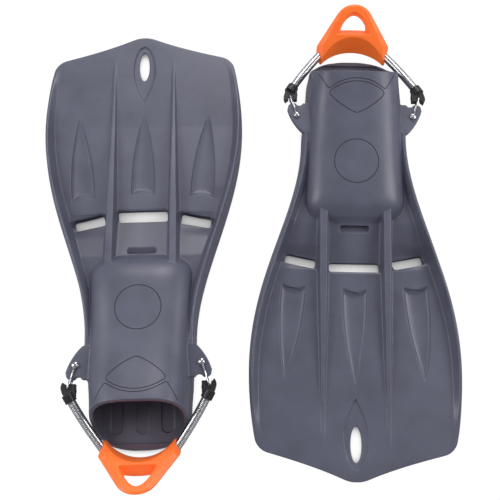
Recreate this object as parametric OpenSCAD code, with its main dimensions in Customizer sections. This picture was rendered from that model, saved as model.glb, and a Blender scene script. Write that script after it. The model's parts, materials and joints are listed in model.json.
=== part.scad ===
// Pair of open-heel rubber dive fins with stainless spring heel straps.
// The two fins are alike and lie side by side on the floor, turned end for end.
// In a fin x runs across, y from the heel end of the sole to the tip of the blade, and z up.
// The outer side of a fin, away from the other one, is at -x and the inner side is at +x.

/* [Layout] */
// Where the heel end of the left fin lies on the floor
left_heel_at = [-111.22, -233.24]; // [-300:0.01:300]
// Turn of the left fin
left_turn = 1.63; // [-10:0.01:10]
// Where the heel end of the right fin lies on the floor
right_heel_at = [129.05, 233.23]; // [-300:0.01:300]
// Turn of the right fin
right_turn = 178.94; // [170:0.01:190]

/* [Blade] */
// Length from the heel end of the sole to the tip of the blade
fin_l = 500; // [480:1:540]
// Greatest width of the blade
blade_w = 236; // [222:1:250]
// Distance from the tip back to the widest part of the blade
widest_back = 122; // [110:1:135]
// Distance from the tip back to where the rounded shoulders start
shoulder_back = 45; // [40:1:52]
// How much narrower each side is where its shoulder starts
shoulder_in = 7.5; // [5:0.5:10]
// Radius of the shoulders
shoulder_r = 20; // [14:1:26]
// Radius of the rounded tip
tip_r = 35; // [25:1:45]
// Height of the upper face at the tip
tip_z = 9.5; // [8:0.5:12]
// Thickness of the blade at the tip
tip_t = 4.5; // [3.5:0.1:6]
// Height of the upper face just ahead of the vents
blade_root_z = 20; // [17:0.5:23]
// Thickness of the blade just ahead of the vents
blade_root_t = 7; // [5:0.5:9]

/* [Rails and ribs] */
// Width of a side rail at its top
rail_w = 6; // [4:0.5:8]
// Height of the side rails beside the vents
rail_vent_z = 37; // [32:1:42]
// Outward lean of a rail's outer face, as run over rise
rail_draft = 0.26; // [0.1:0.01:0.35]
// Distance of the two inner ribs from the middle
rib_x = 36; // [34:0.5:38]
// Width of a rib at the toe
rib_w = 9; // [7:0.5:11]
// Height of a rib at the toe
rib_h = 12; // [8:0.5:14]

/* [Vents, scoops and hang hole] */
// Distance from the heel end to the middle of the vents
vent_y = 264; // [258:1:272]
// Length of a vent along the fin
vent_l = 11.5; // [9:0.5:14]
// Width of the middle vent
mid_vent_w = 57; // [48:1:60]
// Width of a side vent
side_vent_w = 35; // [28:1:36]
// Angle at which the side vents fall back
side_vent_turn = 11.5; // [5:0.5:15]
// Height of the channel floor where it ends at the vents
vent_floor_z = 13; // [11:0.5:15]
// Length of a scoop
scoop_l = 109; // [98:1:114]
// Width of a scoop at its heel end
scoop_w = 27; // [22:1:30]
// Depth of a scoop at its heel end
scoop_d = 4.2; // [2.5:0.1:4.8]
// Outward lean of the side scoops
scoop_lean = 4.9; // [2:0.1:7]
// Length of the hang hole
hang_l = 38.5; // [30:0.5:42]
// Width of the hang hole
hang_w = 12; // [9:0.5:14]
// Distance from the tip to the middle of the hang hole
hang_back = 39.5; // [36:0.5:45]
// Depth of the teardrop recess round the hang hole
recess_d = 2.2; // [1.5:0.1:2.6]

/* [Foot pocket] */
// Distance from the heel end to the front of the toe
toe_y = 216; // [210:1:222]
// Width of the foot pocket at its opening
pocket_w = 111; // [106:1:114]
// Width of the foot pocket behind the toe
toe_w = 118; // [112:1:120]
// Corner radius of the toe, seen from above
toe_r = 28; // [22:1:32]
// Height of the instep at the opening
opening_z = 78; // [70:1:86]
// Height of the instep over the toes
instep_z = 54; // [50:1:58]
// Height of the pocket at the top of the toe front
toe_z = 37; // [34:0.5:40]
// Wall thickness of the pocket
wall = 4; // [3:0.5:5]
// Thickness of the sole
sole_t = 8; // [6:0.5:10]
// Width of the waist, just ahead of the ears
waist_w = 122; // [119:1:127]
// Distance from the heel end to the waist
waist_y = 115; // [112:1:120]
// Width of a groove in the sole
groove_w = 14; // [10:1:18]
// Depth of a groove in the sole
groove_d = 1.5; // [1:0.1:2.5]

/* [Ears] */
// Height of the middle of the ears
ear_z = 41; // [38:0.5:44]
// Thickness of an ear
ear_t = 7.2; // [6:0.1:8.5]
// Distance from the pocket's side out to the pins
pin_out = 12.1; // [10.5:0.1:13.5]
// Distance from the pins out to the outermost point of an ear
ear_out = 10.9; // [9:0.1:14]
// Distance from the heel end to the pins
pin_y = 89; // [86:0.5:92]
// Radius of a pin's shank
pin_r = 1.5; // [1.2:0.1:1.8]

/* [Bails and clips] */
// Diameter of the bail wire
wire_d = 2.6; // [2:0.1:3]
// Distance along the fin from a pin back to the clip's hook
bail_back = 24.2; // [22:0.2:27]
// Distance outwards from a pin to the clip's hook
bail_out = 7.7; // [6:0.1:9]
// Running clearance of a bail's eye on its pin
eye_gap = 0.06; // [0.04:0.01:0.1]
// Clearance of the bail in the clip's hook
hook_gap = 0.25; // [0.2:0.05:0.4]
// Clearance between a bail's legs and what they straddle
leg_gap = 0.3; // [0.2:0.05:0.5]
// Distance from the hook back to the clip's rear face
clip_back = 14; // [13:0.5:17]

/* [Springs] */
// Outside diameter of a spring
spring_d = 9.5; // [8.5:0.1:10]
// Diameter of the spring wire
coil_d = 2.2; // [1.8:0.1:2.3]
// Turns of one spring
coil_turns = 21; // [16:1:22]
// Depth of the sockets that take a spring's ends
socket_d = 3.5; // [2.5:0.5:4.5]
// Clearance of a spring in its socket
socket_gap = 0.35; // [0.3:0.05:0.5]
// Outward bow of a spring, as its end tangents' turn from a straight line
spring_bow = 4; // [2:1:12]

/* [Heel pad] */
// Height of the lower edge of the pad at its middle
pad_z = 17.8; // [16:0.2:22]
// Distance of that edge behind the heel end of the sole
pad_back = 7.2; // [6:0.2:12]
// Backward lean of the pad
pad_lean = 12; // [9:1:16]
// How far the heel cup's radius exceeds its half width at the tips
cup_more = 6.9; // [5.5:0.1:8.5]
// Thickness of the pad at its middle
pad_t = 7.5; // [6:0.5:9]
// Distance of the pad's sides inside the pocket's sides
pad_in = 12.2; // [10.5:0.1:13.5]
// Width of a tip of the pad
pad_tip_w = 4.8; // [4:0.1:5.5]
// Rise of the pull loop from the tips, as an angle
pull_rise = 33.5; // [30:0.5:37]
// Length of the pull loop from the tips to its end
pull_l = 69.4; // [64:0.2:74]
// Radius of the end of the pull loop
pull_r = 24; // [20:0.5:27]
// Thickness of the pull loop
pull_t = 8; // [6:0.5:9]
// Half width of the finger hole at the heel cup
finger_half_w = 19.5; // [17:0.5:21]
// Length of the finger hole from the heel cup to the end of the loop
finger_l = 24; // [21:0.5:26]

/* [Hidden] */

$fn = 64;
OUTER = -1;
INNER = 1;
RUBBER = "#62626e";
ORANGE = "#ff7f3f";
BLACK = "#2c282c";
STEEL = "#c9cbcc";
// Overlap that makes a cut pass its faces
over = 1;
// Width of the fin that the strap's bails have to clear
strap_w = max(pocket_w, waist_w - 11);
// Distance from the middle to the pins, and to the outermost point of an ear
pin_x = strap_w / 2 + pin_out;
ear_reach = pin_x + ear_out;
// Greatest half width of the heel pad, half width between its tips, and radius of its cup
pad_half_w = pocket_w / 2 - pad_in;
pad_tip_x = pad_half_w - pad_tip_w;
cup_r = pad_tip_x + cup_more;
// The fin's moulding is parted here, from the foot pocket to the vent bars and from those to the blade
split_y = toe_y + 6;
bars_y = vent_y + 15;
// Upper face of an ear and of the rails beside it
ear_top = ear_z + ear_t / 2;
// Front and rear of an ear along the fin
ear_front_y = pin_y + 21;
ear_rear_y = pin_y - 15.5;
// How far the rails stand above the tub that carries the foot pocket, and an ear above the tub's rear
rail_rise = 8;
ear_step = 1.4;
// Height of the upper face where the toe meets the channels
toe_foot_z = 27;
// Rim of the sole behind the opening
sole_rim_z = sole_t + 1;

// Curves

function bez(a, b, c, d, n) = [
    for (i = [0:n])
        let (u = i / n, v = 1 - u)
            a * v ^ 3 + 3 * b * v ^ 2 * u + 3 * c * v * u ^ 2 + d * u ^ 3
];

function heading(a) = [cos(a), sin(a)];

// Left-hand arc that starts at p with heading a0 and ends with heading a1
function bend(p, r, a0, a1, n) = [
    for (i = [0:n])
        let (a = a0 + (a1 - a0) * i / n)
            p + r * [sin(a) - sin(a0), cos(a0) - cos(a)]
];

function flip(pts) = [for (i = [len(pts) - 1:-1:0]) [-pts[i].x, pts[i].y]];

function unit(v) = v / norm(v);

function after_first(pts) = [for (i = [1:len(pts) - 1]) pts[i]];

// Half outline of the fin from the heel end to the tip

sole_half_w = pocket_w / 2 - 1;
side_heading = 101;
top_heading = 165;
tip_heading = 157;
shoulder_from = [blade_w / 2 - shoulder_in, fin_l - shoulder_back];
shoulder = bend(shoulder_from, shoulder_r, side_heading, top_heading, 6);
shoulder_to = shoulder[len(shoulder) - 1];
tip_from = [tip_r * cos(tip_heading - 90), fin_l - tip_r + tip_r * sin(tip_heading - 90)];
top_reach = norm(shoulder_to - tip_from) / 3;
widest_y = fin_l - widest_back;
heel_end = bez([0, 0], [32, 0], [sole_half_w - 2, 8], [sole_half_w, 40], 10);
edge = concat(
    after_first(heel_end),
    after_first(bez([sole_half_w, 40], [sole_half_w + 0.5, 62],
        [waist_w / 2 - 1, waist_y - 30], [waist_w / 2, waist_y], 8)),
    after_first(bez([waist_w / 2, waist_y], [waist_w / 2 + 1, waist_y + 85],
        [blade_w / 2, widest_y - 108], [blade_w / 2, widest_y], 18)),
    after_first(bez([blade_w / 2, widest_y], [blade_w / 2, widest_y + 32],
        shoulder_from - 20 * heading(side_heading), shoulder_from, 5)),
    after_first(shoulder),
    after_first(bez(shoulder_to, shoulder_to + top_reach * heading(top_heading),
        tip_from - top_reach * heading(tip_heading), tip_from, 6)),
    [for (a = [18, 12, 6]) [tip_r * sin(a), fin_l - tip_r + tip_r * cos(a)]]
);
edge_table = [for (p = edge) [p.y, p.x]];

function edge_x(y) = lookup(y, edge_table);

// Heights along the fin

function panel_top(y) = lookup(y, [
    [0, sole_rim_z],
    [ear_rear_y - 9, sole_rim_z],
    [ear_rear_y, ear_top - ear_step],
    [ear_front_y, ear_top - ear_step],
    [ear_front_y + 38, ear_top - rail_rise - 3.5],
    [toe_y - 2, toe_foot_z],
    [vent_y - vent_l / 2, vent_floor_z],
    [vent_y, vent_floor_z],
    [vent_y + vent_l / 2 + 1, blade_root_z],
    [widest_y, (blade_root_z + tip_z) / 2 - 2],
    [fin_l, tip_z]
]);

function panel_base(y) = lookup(y, [
    [0, 0],
    [toe_y - 30, 0],
    [split_y, vent_floor_z - 6],
    [vent_y, vent_floor_z - 6],
    [vent_y + vent_l / 2 + 1, blade_root_z - blade_root_t],
    [widest_y, (blade_root_z + tip_z) / 2 - 2 - (blade_root_t + tip_t) / 2],
    [fin_l, tip_z - tip_t]
]);

rail_end_y = fin_l - shoulder_back + 10;

function rail_top(y) = lookup(y, [
    [ear_rear_y - 9, sole_rim_z],
    [ear_rear_y, ear_top - 0.3],
    [ear_front_y, ear_top - 0.3],
    [vent_y, rail_vent_z],
    [widest_y, (rail_vent_z + tip_z) / 2],
    [rail_end_y, panel_top(rail_end_y)],
    [fin_l, tip_z]
]);

function rail_base(y) = lookup(y, [
    [0, 0],
    [rail_end_y - 50, 0],
    [rail_end_y, panel_base(rail_end_y)],
    [fin_l, tip_z - tip_t]
]);

function rib_rise(y) = lookup(y, [
    [toe_y - 40, 0],
    [toe_y - 15, rib_h],
    [vent_y, rib_h],
    [fin_l - 22, 0]
]);

function lean_of_rail(y) = lookup(y, [[ear_front_y, rail_draft / 3], [vent_y, rail_draft]]);

function rib_half(y) = lookup(y, [[vent_y, rib_w / 2], [fin_l - 22, 1.2]]);

// Hollow of the upper and lower faces at the middle
dip = 0.4;

// Cross-section of the moulding, from the middle of the underside round one side to the middle of the top
function half_ring(x, y) =
    let (
        k = min(1, x / 60),
        top = panel_top(y),
        base = panel_base(y),
        crest = max(rail_top(y), top),
        foot = min(rail_base(y), base),
        wide_z = foot + 0.35 * (crest - foot),
        out = x - lean_of_rail(y) * max(0, crest - wide_z - 6),
        rib = min(rib_x, 0.5 * x),
        half = rib_half(y) * k
    ) [
        [0, base + min(dip * k, base / 10)],
        [x - k * (rail_w + 4), base],
        [x - k * rail_w, foot],
        [x - k * 1.5, foot],
        [x, wide_z],
        [out, crest - 1.2],
        [out - k * 1.2, crest],
        [out - k * (rail_w - 1), crest],
        [out - k * (rail_w + 2), top],
        [rib + half, top],
        [rib + half * 0.55, top + rib_rise(y)],
        [rib - half * 0.55, top + rib_rise(y)],
        [rib - half, top],
        [0, top - dip * k]
    ];

function ring(x, y) =
    let (h = half_ring(x, y), n = len(h))
        concat(
            [for (p = h) [p.x, y, p.y]],
            [for (i = [n - 2:-1:1]) [-h[i].x, y, h[i].y]]
        );

// Solid through a row of rings that have the same number of points.
// An end is flat, or runs to a point where one is given.
module loft(rings, first_point = undef, last_point = undef) {
    n = len(rings[0]);
    m = len(rings);
    last = (m - 1) * n;
    points = concat(
        [for (r = rings) each r],
        is_undef(first_point) ? [] : [first_point],
        is_undef(last_point) ? [] : [last_point]
    );
    polyhedron(
        points = points,
        faces = concat(
            is_undef(first_point)
                ? [[for (i = [n - 1:-1:0]) i]]
                : [for (i = [0:n - 1]) [(i + 1) % n, i, m * n]],
            [
                for (j = [0:m - 2], i = [0:n - 1])
                    let (a = j * n + i, b = j * n + (i + 1) % n)
                        each [[a, b, b + n], [a, b + n, a + n]]
            ],
            is_undef(last_point)
                ? [[for (i = [0:n - 1]) last + i]]
                : [for (i = [0:n - 1]) [last + i, last + (i + 1) % n, len(points) - 1]]
        )
    );
}

// Fin without foot pocket or cut-outs: sole, tub, rails, channels, blade and ribs
module fin_deck(y_from, y_to) {
    ends = [for (y = [y_from, y_to]) if (y > edge[0].y && y < fin_l) [edge_x(y), y]];
    inside = [for (p = edge) if (p.y > y_from + 0.5 && p.y < y_to - 0.5) p];
    stations = concat(
        y_from > 0 ? [ends[0]] : [],
        inside,
        y_to < fin_l ? [ends[len(ends) - 1]] : []
    );
    loft(
        [for (p = stations) ring(p.x, p.y)],
        first_point = y_from > 0 ? undef : [0, 0, sole_rim_z / 2],
        last_point = y_to < fin_l ? undef : [0, fin_l, tip_z - tip_t / 2]
    );
}

// Foot pocket

// Height of the pocket's ridge line
function ridge_z(y) = lookup(y, [
    [0, opening_z + 12],
    [48, opening_z],
    [94, (opening_z + instep_z) / 2 - 1],
    [130, instep_z + 4],
    [172, instep_z - 1.5],
    [toe_y - 30, instep_z - 4],
    [toe_y - 18, (instep_z + toe_z) / 2],
    [toe_y - 8.5, toe_z],
    [toe_y - 1.5, toe_foot_z],
    [toe_y + 2, toe_foot_z - 2]
]);

// Half width of the pocket; inset moves the whole form inwards
function pocket_half_w(y, inset) =
    let (
        straight = lookup(y, [[40, pocket_w / 2], [toe_y - toe_r, toe_w / 2]]),
        heel = edge_x(y) - 0.6,
        corner_y = toe_y + 2 - toe_r,
        corner = max(toe_r - inset, 4),
        d = min(max(0, y - corner_y), corner * 0.98)
    ) min(straight, heel) - inset - corner + sqrt(corner ^ 2 - d ^ 2);

arch_power = 0.57;
arch_steps = 20;

function arch_ring(y, half_w, top, base) = [
    for (i = [0:arch_steps])
        let (a = 180 * i / arch_steps)
            [half_w * sign(cos(a)) * abs(cos(a)) ^ arch_power, y, base + (top - base) * sin(a) ^ arch_power]
];

module pocket_form(inset, base, y_from, y_to) {
    middle = [40, 58, 76, 94, 112, 130, 152, 172];
    toe = [for (t = [26, 20, 14, 9, 5, 2]) toe_y - t - inset];
    all_y = concat([y_from, 9, 16, 26], middle, toe, [y_to]);
    loft([
        for (y = all_y)
            arch_ring(y, pocket_half_w(y, inset), ridge_z(y + inset) - inset, base)
    ]);
}

// What is taken away behind the slanted opening
module opening_cut() {
    rotate([90, 0, 90])
        translate([0, 0, -pocket_w])
            linear_extrude(2 * pocket_w)
                polygon([
                    [-60, sole_rim_z - 0.2], [1, sole_rim_z - 0.2], [13, 0.19 * opening_z],
                    [27, 0.4 * opening_z], [37, 0.692 * opening_z],
                    [48, opening_z],
                    [52, opening_z + 30], [-60, opening_z + 30]
                ]);
}

module rounded_slot(w, l, r) {
    square([w - 2 * r, l], center = true);
    square([w, l - 2 * r], center = true);
    for (x = [-1, 1], y = [-1, 1])
        translate([x * (w / 2 - r), y * (l / 2 - r)]) circle(r);
}

module ear_outline() {
    corner_r = 3.5;
    difference() {
        polygon(concat(
            [[pin_x - 18.4, ear_rear_y], [ear_reach - 6.5, ear_rear_y]],
            bend([ear_reach - 6, ear_rear_y], corner_r + 2, 0, 100, 6),
            bez([ear_reach, ear_rear_y + 7], [ear_reach - 3, pin_y + 3], [pin_x, pin_y + 15],
                [edge_x(ear_front_y) - 0.5, ear_front_y], 6),
            [[pin_x - 18.4, ear_front_y]]
        ));
        // Scallop that the clip's inner prong swings into
        translate([pin_x - 3, ear_rear_y - 1.5]) circle(4.5);
    }
}

module ears() {
    for (side = [0, 1])
        mirror([side, 0, 0])
            translate([0, 0, ear_z - ear_t / 2]) linear_extrude(ear_t) ear_outline();
}

module pin_bores() {
    for (side = [-1, 1])
        translate([side * pin_x, pin_y, ear_z - ear_t]) cylinder(h = 2 * ear_t, r = pin_r + 0.02);
}

module sole_grooves() {
    heel_y = 18;
    toe_end_y = 150;
    for (x = [-2, 0, 2] * groove_w)
        translate([x, (heel_y + toe_end_y) / 2, sole_t - groove_d])
            linear_extrude(2 * groove_d)
                rounded_slot(groove_w, toe_end_y - heel_y, groove_w / 2 - 0.1);
}

module toe_drain() {
    drain_w = 33;
    drain_h = 4.5;
    translate([-drain_w / 2, toe_y - 22, toe_foot_z - 1.5]) cube([drain_w, 26, drain_h]);
}

module foot_pocket() {
    color(RUBBER)
        difference() {
            union() {
                fin_deck(0, split_y);
                pocket_form(0, sole_t / 2, 3, toe_y + 1.5);
                ears();
            }
            pocket_form(wall, sole_t, 7, toe_y - wall - 1);
            opening_cut();
            sole_grooves();
            toe_drain();
            pin_bores();
        }
}

// Blade cut-outs

module vents() {
    translate([0, vent_y]) rounded_slot(mid_vent_w, vent_l, 2.5);
    for (side = [0, 1])
        mirror([side, 0])
            translate([rib_x + rib_w / 2 + 3.8, vent_y - 3])
                rotate(-side_vent_turn)
                    translate([side_vent_w / 2, 0]) rounded_slot(side_vent_w, vent_l, 2.5);
}

// Trough with a bullet outline that points to the tip and a swallow-tail heel end

function scoop_half_w(t) = scoop_w / 2 * (1 + 0.7 * t) * (1 - t ^ 1.35);

function scoop_ring(y, t, tail) =
    let (half = scoop_half_w(t), z = panel_top(y), d = scoop_d * (1 - t) ^ 0.4)
        concat(
            [for (a = [180:-30:0]) [half * cos(a), y + tail * sin(a), z - d * sin(a)]],
            [[half, y, z + 4], [-half, y, z + 4]]
        );

module scoop() {
    y = vent_y + 24;
    tail = 8;
    loft(
        [for (t = [0, 0.12, 0.27, 0.42, 0.57, 0.71, 0.83, 0.92, 0.975])
            scoop_ring(y + scoop_l * t, t, t == 0 ? tail : 0)],
        first_point = [0, y + tail, panel_top(y) + 4],
        last_point = [0, y + scoop_l, panel_top(y + scoop_l) + 0.5]
    );
}

module scoops() {
    scoop();
    for (side = [0, 1])
        mirror([side, 0, 0])
            translate([rib_x + 32.5, vent_y + 20, 0])
                rotate(-scoop_lean) translate([0, -vent_y - 24, 0]) scoop();
}

module hang_outline() {
    polygon([for (a = [0:9:351]) [hang_w / 2 * cos(a), hang_l / 2 * sin(a)]]);
}

// Teardrop round the hang hole, with its point to the heel
recess_point = hang_l / 2 + 30;
recess_end = hang_l / 2 + 7.5;

module recess_outline() {
    half = hang_w / 2 + 7.2;
    wide = -hang_l * 0.18;
    side = concat(
        bez([0, -recess_point], [half * 0.55, -recess_point + 14], [half, wide - 15], [half, wide], 8),
        after_first(bez([half, wide], [half, wide + 17], [half * 0.55, recess_end], [0, recess_end], 8))
    );
    polygon(concat(side, flip(side)));
}

module hang_hole() {
    y = fin_l - hang_back;
    point_y = y - recess_point;
    end_y = y + recess_end;
    fall = atan2(panel_top(point_y) - panel_top(end_y), end_y - point_y);
    translate([0, y, -over]) linear_extrude(40) hang_outline();
    translate([0, point_y, panel_top(point_y) - recess_d])
        rotate([-fall, 0, 0])
            linear_extrude(20) translate([0, recess_point]) recess_outline();
}

// Bars that bridge the moulding between the foot pocket and the blade, with the three vents between them
module vent_bars() {
    color(RUBBER)
        difference() {
            fin_deck(split_y, bars_y);
            translate([0, 0, -over]) linear_extrude(60) vents();
        }
}

module blade() {
    color(RUBBER)
        difference() {
            fin_deck(bars_y, fin_l);
            scoops();
            hang_hole();
        }
}

// Strap hardware on the inner side; the outer side mirrors it

leg_z = ear_t / 2 + leg_gap + wire_d / 2;
eye_t = 2;
pin_head_r = pin_r + 1.3;
eye_r = pin_r + eye_gap + 1.9;
hook = [pin_x + bail_out, pin_y - bail_back, ear_z];

module on_side(side) {
    if (side == INNER) children();
    else mirror([1, 0, 0]) children();
}

// Shank through the ear and both eyes of the bail, with a domed head at each end
module ear_pin(side) {
    head_r = pin_head_r;
    head_h = 1.9;
    seat = leg_z + eye_t / 2 + 0.1;
    color(STEEL)
        on_side(side)
            translate([pin_x, pin_y, ear_z])
                rotate_extrude()
                    polygon(concat(
                        [[0, -seat - head_h], [head_r * 0.55, -seat - head_h], [head_r, -seat - head_h / 2],
                            [head_r, -seat], [pin_r, -seat]],
                        [[pin_r, seat], [head_r, seat], [head_r, seat + head_h / 2],
                            [head_r * 0.55, seat + head_h], [0, seat + head_h]]
                    ));
}

// Wire bow: two legs with flattened eyes on the pin, joined by the bar that the clip hooks on
module bail(side) {
    bow_r = 2;
    neck = pin_head_r + 0.2;
    run = norm([bail_out, bail_back]);
    aim = -atan2(bail_back, bail_out);
    color(STEEL)
        on_side(side)
            translate([pin_x, pin_y, ear_z])
                difference() {
                    rotate(aim)
                        union() {
                            for (end = [-1, 1])
                                translate([0, 0, end * leg_z]) {
                                    translate([neck, 0, 0])
                                        rotate([0, 90, 0]) cylinder(h = run - bow_r - neck, r = wire_d / 2);
                                    translate([0, 0, -eye_t / 2]) cylinder(h = eye_t, r = eye_r);
                                }
                            for (end = [0, 1])
                                mirror([0, 0, end])
                                    translate([run - bow_r, 0, leg_z - bow_r])
                                        rotate([90, 0, 0])
                                            rotate_extrude(angle = 90) translate([bow_r, 0]) circle(wire_d / 2);
                            translate([run, 0, -leg_z + bow_r])
                                cylinder(h = 2 * (leg_z - bow_r), r = wire_d / 2);
                        }
                    translate([0, 0, -20]) cylinder(h = 40, r = pin_r + eye_gap);
                }
}

// Way of the spring's axis, from the floor of the clip's socket to the floor of the pad's socket

cup_turn = [1, cos(pad_lean), sin(pad_lean)];
pad_tip_v = cup_r - sqrt(cup_r ^ 2 - pad_tip_x ^ 2);

// Point of the pad from its own coordinates: across, forwards and up along its lean
function pad_point(x, v, w) = [
    x,
    -pad_back + v * cos(pad_lean) - w * sin(pad_lean),
    pad_z + v * sin(pad_lean) + w * cos(pad_lean)
];

side_v = 4.4;
pad_seat = pad_point((pad_tip_x + pad_half_w) / 2, (pad_tip_v + side_v) / 2, 7.5);
chord_from = hook + [-3.8, -clip_back, -0.7];
chord = pad_seat - chord_from;
chord_turn = atan2(chord.y, chord.x);
chord_flat = norm([chord.x, chord.y]);
clip_way = unit([chord_flat * cos(chord_turn + spring_bow), chord_flat * sin(chord_turn + spring_bow), chord.z]);
pad_way = unit([chord_flat * cos(chord_turn - spring_bow), chord_flat * sin(chord_turn - spring_bow), chord.z]);
spring_from = chord_from - socket_d * clip_way;
spring_to = pad_seat + socket_d * pad_way;
spring_reach = norm(spring_to - spring_from) * 0.34;
socket_r = spring_d / 2 + socket_gap;

function axis_point(u) =
    let (v = 1 - u)
        spring_from * v ^ 3 + 3 * (spring_from + spring_reach * clip_way) * v ^ 2 * u
        + 3 * (spring_to - spring_reach * pad_way) * v * u ^ 2 + spring_to * u ^ 3;

function axis_way(u) = unit(axis_point(min(1, u + 0.01)) - axis_point(max(0, u - 0.01)));

// Turns z towards a direction
module aim_z(d) {
    rotate([0, acos(d.z / norm(d)), atan2(d.y, d.x)]) children();
}

// Spring: straight end, helix round the curved axis, straight end

coil_r = (spring_d - coil_d) / 2;
rings_per_turn = 8;
spring_l = norm(spring_to - spring_from) * 1.012;
end_u = coil_d / spring_l;

function coil_point(u, turn) =
    let (
        t = axis_way(u),
        b = unit(cross(t, [0, 0, 1])),
        n = cross(b, t)
    ) axis_point(u) + coil_r * (cos(turn) * n + sin(turn) * b);

coil_steps = coil_turns * rings_per_turn;
coil_way = concat(
    [coil_point(0.0003, 0)],
    [for (i = [0:coil_steps])
        coil_point(end_u + (1 - 2 * end_u) * i / coil_steps, 360 * i / rings_per_turn)],
    [coil_point(0.9997, 0)]
);

// Least distance between the surfaces of turns that lie side by side, measured on the points of the way
function self_gap(p, d, skip) =
    min([for (i = [0:len(p) - 1 - skip], j = [i + skip:len(p) - 1]) norm(p[i] - p[j])]) - d;

echo("least gap of a spring to itself", self_gap(coil_way, coil_d, rings_per_turn - 2));

module tube(way, d, sides) {
    last = len(way) - 1;
    tangent = [for (i = [0:last])
        i == 0 ? unit(way[1] - way[0])
        : i == last ? unit(way[last] - way[last - 1])
        : unit(unit(way[i + 1] - way[i]) + unit(way[i] - way[i - 1]))];
    loft([
        for (i = [0:last])
            let (
                t = tangent[i],
                mid = axis_point(min(1, max(0, i / last))),
                out = way[i] - mid,
                e = unit(out - (out * t) * t),
                f = cross(t, e)
            ) [for (k = [0:sides - 1])
                way[i] + d / 2 * (cos(360 * k / sides) * e + sin(360 * k / sides) * f)]
    ]);
}

module spring(side) {
    color(STEEL) on_side(side) tube(coil_way, coil_d, 6);
}

// Stud that a spring end is pushed on, with a shank in the piece that holds it
plug_r = coil_r - coil_d / 2 - 0.45;
plug_l = 7;
shank_r = 1.5;
shank_l = 4;

module plug() {
    rotate_extrude()
        polygon([
            [0, -shank_l], [shank_r, -shank_l], [shank_r, 0], [plug_r, 0],
            [plug_r, plug_l - 1], [plug_r - 0.7, plug_l], [0, plug_l]
        ]);
}

module shank_bore() {
    translate([0, 0, -shank_l - 0.05]) cylinder(h = shank_l + over, r = shank_r + 0.02);
}

module clip_plug(side) {
    color(STEEL) on_side(side) translate(spring_from) aim_z(clip_way) plug();
}

module pad_plugs() {
    color(STEEL)
        for (side = [OUTER, INNER])
            on_side(side) translate(spring_to) aim_z(-pad_way) plug();
}

// Hook clip: C-shaped seat that snaps over the bail's bar, and a boss that takes the spring

clip_t = 2 * (leg_z - wire_d / 2 - leg_gap);

module clip_outline() {
    seat_r = wire_d / 2 + hook_gap;
    difference() {
        union() {
            translate([-1, -2.5]) circle(7.6);
            polygon(bez([5.6, -5], [8.4, -1], [8.2, 3], [5.6, 6.4], 8));
            polygon(concat(
                bez([5.4, 6.3], [3.6, 5.4], [2.6, 3], [2.2, -2], 6),
                bez([3, -9], [5.6, -7], [8.4, -2], [5.6, 6.4], 8)
            ));
            translate([-8.2, -10]) square([7, 14.5]);
        }
        circle(seat_r);
        // Mouth of the hook, open forwards and outwards
        polygon([[-seat_r, 0], [seat_r, 0], [3.4, 12], [-1.5, 12]]);
    }
}

module clip(side) {
    boss_r = socket_r + 1.4;
    boss_l = 9.5;
    color(BLACK)
        on_side(side)
            difference() {
                union() {
                    translate(hook - [0, 0, clip_t / 2]) linear_extrude(clip_t) clip_outline();
                    translate(chord_from) aim_z(-clip_way) cylinder(h = boss_l, r = boss_r);
                }
                translate(spring_from) aim_z(clip_way) {
                    cylinder(h = socket_d + over, r = socket_r);
                    shank_bore();
                }
                // Room for the bail's bow in front of the boss
                translate(hook - [0, 0, 20]) cylinder(h = 40, r = wire_d / 2 + hook_gap);
            }
}

// Heel pad with cup and pull loop

pull_from = pad_point(pad_tip_x, pad_tip_v, 7.5);
outer_r = (pad_half_w ^ 2 + (side_v + pad_t) ^ 2) / (2 * (side_v + pad_t));

// Share of each side that is cut off at the tip, which leaves it blunt
tip_cut = 0.15;

module pad_section() {
    side_run = [pad_tip_x - pad_half_w, pad_tip_v - side_v];
    front = [pad_tip_x, pad_tip_v] - tip_cut * side_run;
    back = [pad_half_w, side_v] - side_run;
    intersection() {
        polygon([[-front.x, front.y], front, back, [-back.x, back.y]]);
        translate([0, outer_r - pad_t]) circle(outer_r, $fn = 128);
    }
}

// Pull loop and its finger hole, as distances from the middle and along the slope from the tips

function pull_edge() =
    let (
        wide_s = 22,
        end_s = pull_l - pull_r,
        corner = [pad_tip_x, 0] - tip_cut * [pad_tip_x - pad_half_w, -wide_s]
    )
        concat(
            [[-corner.x, corner.y], [-pad_half_w, wide_s]],
            [for (a = [148:-6:32]) [pull_r * cos(a), end_s + pull_r * sin(a)]],
            [[pad_half_w, wide_s], corner]
        );

function finger_edge() = [
    for (i = [-12:12])
        let (t = 1.12 * i / 12)
            [finger_half_w * t, pull_l - 10 - finger_l * t ^ 2]
];

function on_floor(pts) = [for (p = pts) [p.x, pull_from.y - p.y * cos(pull_rise)]];

function pull_z(y) = pull_from.z + (pull_from.y - y) * tan(pull_rise);

// Upper edge of the heel cup at its middle, and the shelf behind it that the loop's arms grow from
rim_w = (pull_from.z - pad_z + (pull_from.y + pad_back) * tan(pull_rise))
    / (cos(pad_lean) - tan(pull_rise) * sin(pad_lean));
rim_y = pad_point(0, 0, rim_w).y;
rim_t = 2.6;
shelf_from = [rim_y - rim_t, pull_z(rim_y - rim_t)];
shelf_fall = 41;
shelf_t = 15.6;

module shelf() {
    reach = [shelf_from.x - 14, shelf_from.y - 14];
    half = finger_half_w + 2.5;
    intersection() {
        translate([-half, 0, 0])
            rotate([90, 0, 90])
                linear_extrude(2 * half)
                    polygon([
                        [rim_y + 5, pad_z + 4], [rim_y + 5, pull_z(rim_y + 5) - 2],
                        [reach.x, pull_z(reach.x) - 2], reach, [reach.x + 12, reach.y - 14]
                    ]);
        on_pad() translate([0, outer_r - shelf_t, -40]) cylinder(h = 160, r = outer_r, $fn = 128);
    }
}

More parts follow.
